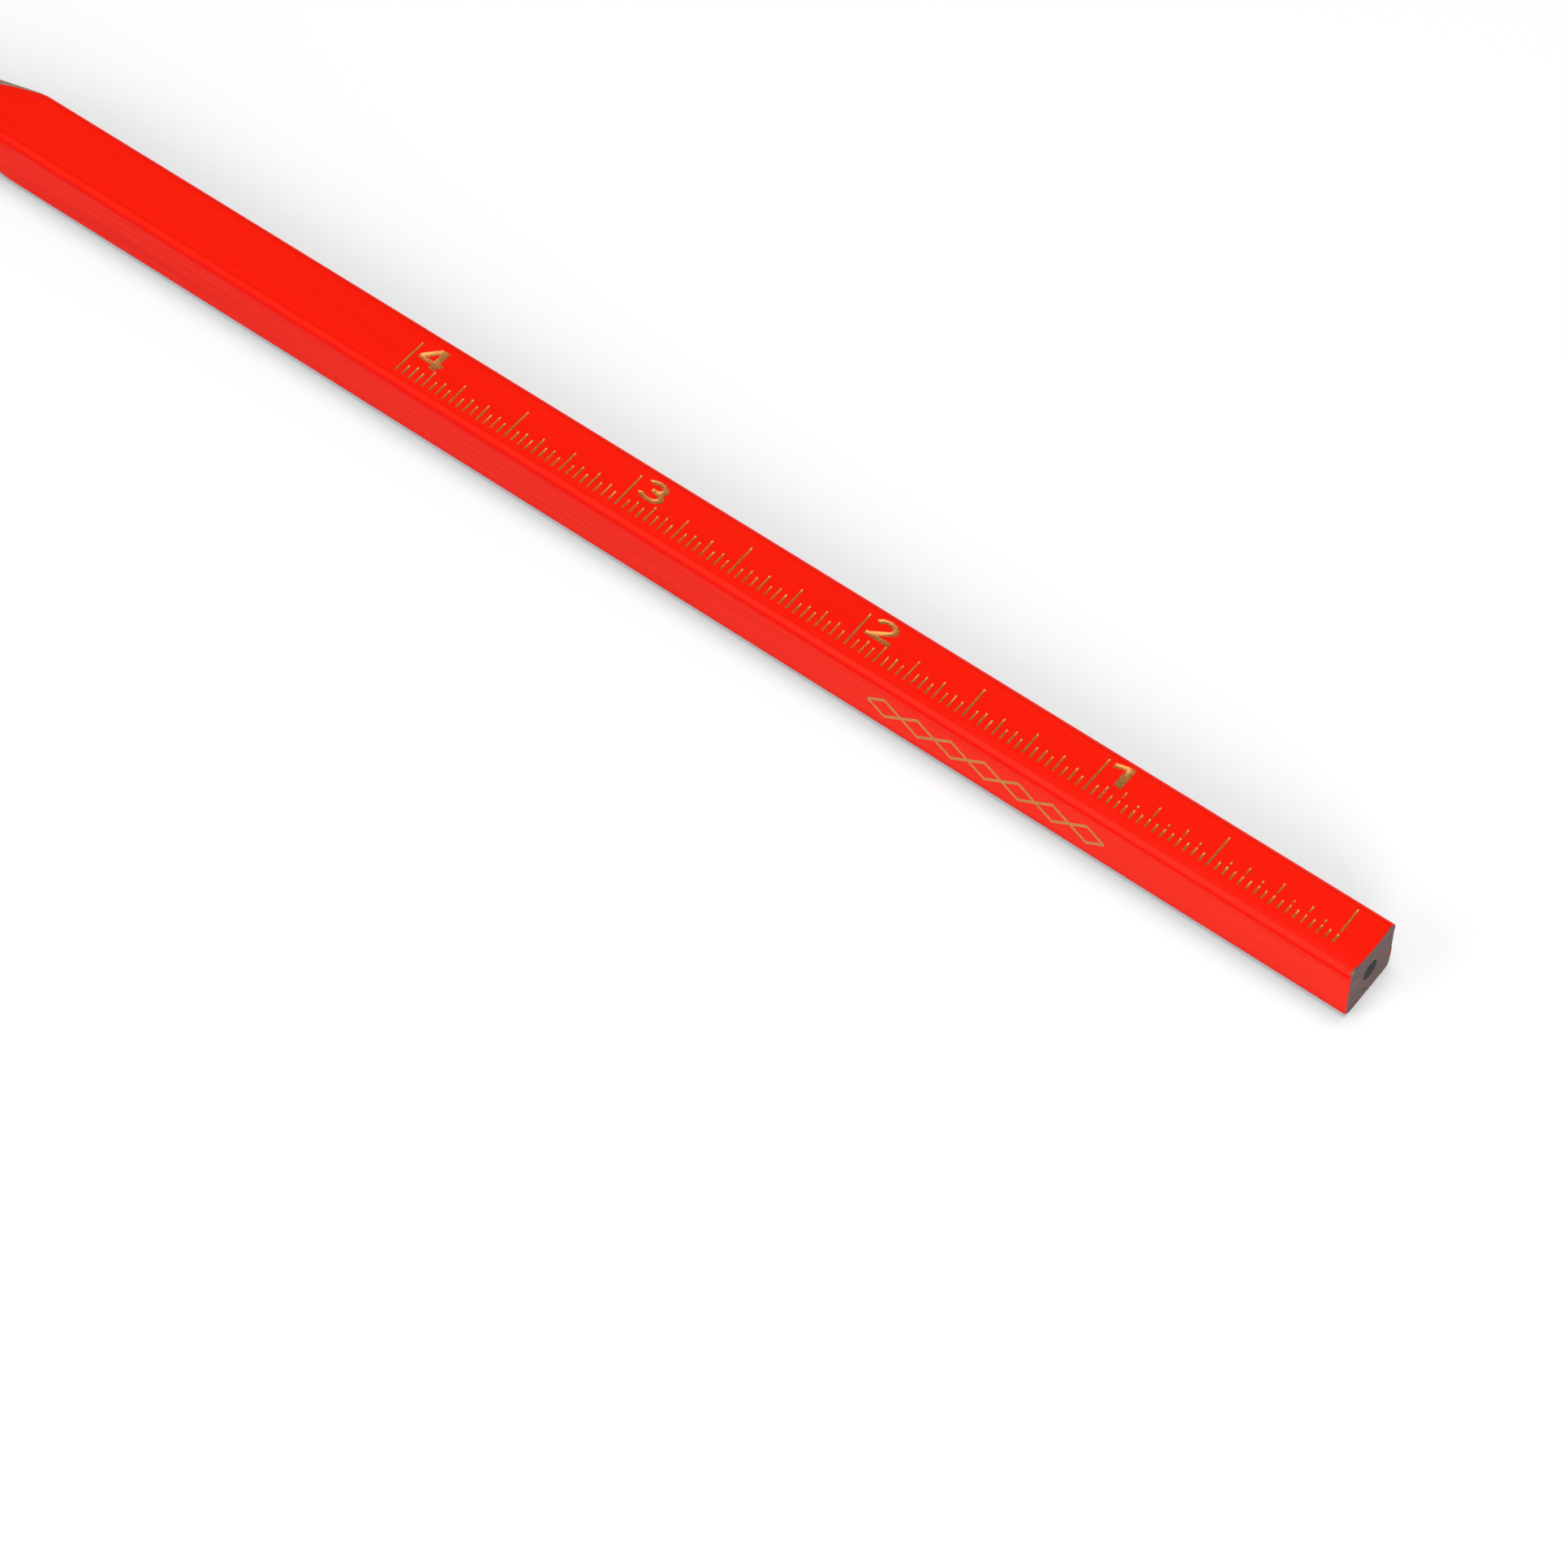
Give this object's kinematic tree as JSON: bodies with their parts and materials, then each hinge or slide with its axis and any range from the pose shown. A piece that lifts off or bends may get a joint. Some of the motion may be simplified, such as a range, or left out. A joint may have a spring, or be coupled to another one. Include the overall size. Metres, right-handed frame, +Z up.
{
  "type": "carpenter pencil",
  "caption": "Square red lacquered carpenter pencil, sharpened to a cone at one end, with a stamped centimetre ruler and inch ruler on opposite faces and a round graphite lead.",
  "frame": {"origin": "below the middle of the pencil's length and width, on the surface that it lies on", "axes": "+X along the pencil towards its square-cut butt, +Z up out of the inch face, -Y out of the side face with the ornament"},
  "size_m": [0.174, 0.0068, 0.0068],
  "materials": {
    "red_lacquer": "glossy red lacquer over wood, satin where it is rubbed",
    "front_wood": "raw softwood, cut by a sharpener",
    "rear_wood": "raw softwood, cut by a sharpener, slightly darker slat",
    "wood_glue": "thin dried glue film",
    "graphite": "grey graphite and clay core, slight metallic sheen",
    "gold_foil": "hot-stamped dull gold foil"
  },
  "bodies": {
    "root": {"front_slat": "front_wood", "rear_slat": "rear_wood", "graphite_lead": "graphite", "upper_glue_line": "wood_glue", "lower_glue_line": "wood_glue", "lacquer_coat": "red_lacquer", "cm_half_0": "gold_foil", "cm_half_1": "gold_foil", "cm_half_2": "gold_foil", "cm_half_3": "gold_foil", "cm_half_4": "gold_foil", "cm_half_5": "gold_foil", "cm_half_6": "gold_foil", "cm_half_7": "gold_foil", "cm_half_8": "gold_foil", "cm_half_9": "gold_foil", "cm_line_0": "gold_foil", "cm_line_1": "gold_foil", "cm_line_2": "gold_foil", "cm_line_3": "gold_foil", "cm_line_4": "gold_foil", "cm_line_5": "gold_foil", "cm_line_6": "gold_foil", "cm_line_7": "gold_foil", "cm_line_8": "gold_foil", "cm_line_9": "gold_foil", "cm_line_10": "gold_foil", "cm_numeral_1": "gold_foil", "cm_numeral_2": "gold_foil", "cm_numeral_3": "gold_foil", "cm_numeral_4": "gold_foil", "cm_numeral_5": "gold_foil", "cm_numeral_6": "gold_foil", "cm_numeral_7": "gold_foil", "cm_numeral_8": "gold_foil", "cm_numeral_9": "gold_foil", "cm_numeral_10_one": "gold_foil", "cm_numeral_10_zero": "gold_foil", "inch_half_0": "gold_foil", "inch_half_1": "gold_foil", "inch_half_2": "gold_foil", "inch_half_3": "gold_foil", "inch_line_0": "gold_foil", "inch_line_1": "gold_foil", "inch_line_2": "gold_foil", "inch_line_3": "gold_foil", "inch_line_4": "gold_foil", "inch_numeral_1": "gold_foil", "inch_numeral_2": "gold_foil", "inch_numeral_3": "gold_foil", "inch_numeral_4": "gold_foil", "side_ornament": "gold_foil"}
  },
  "joints": []
}
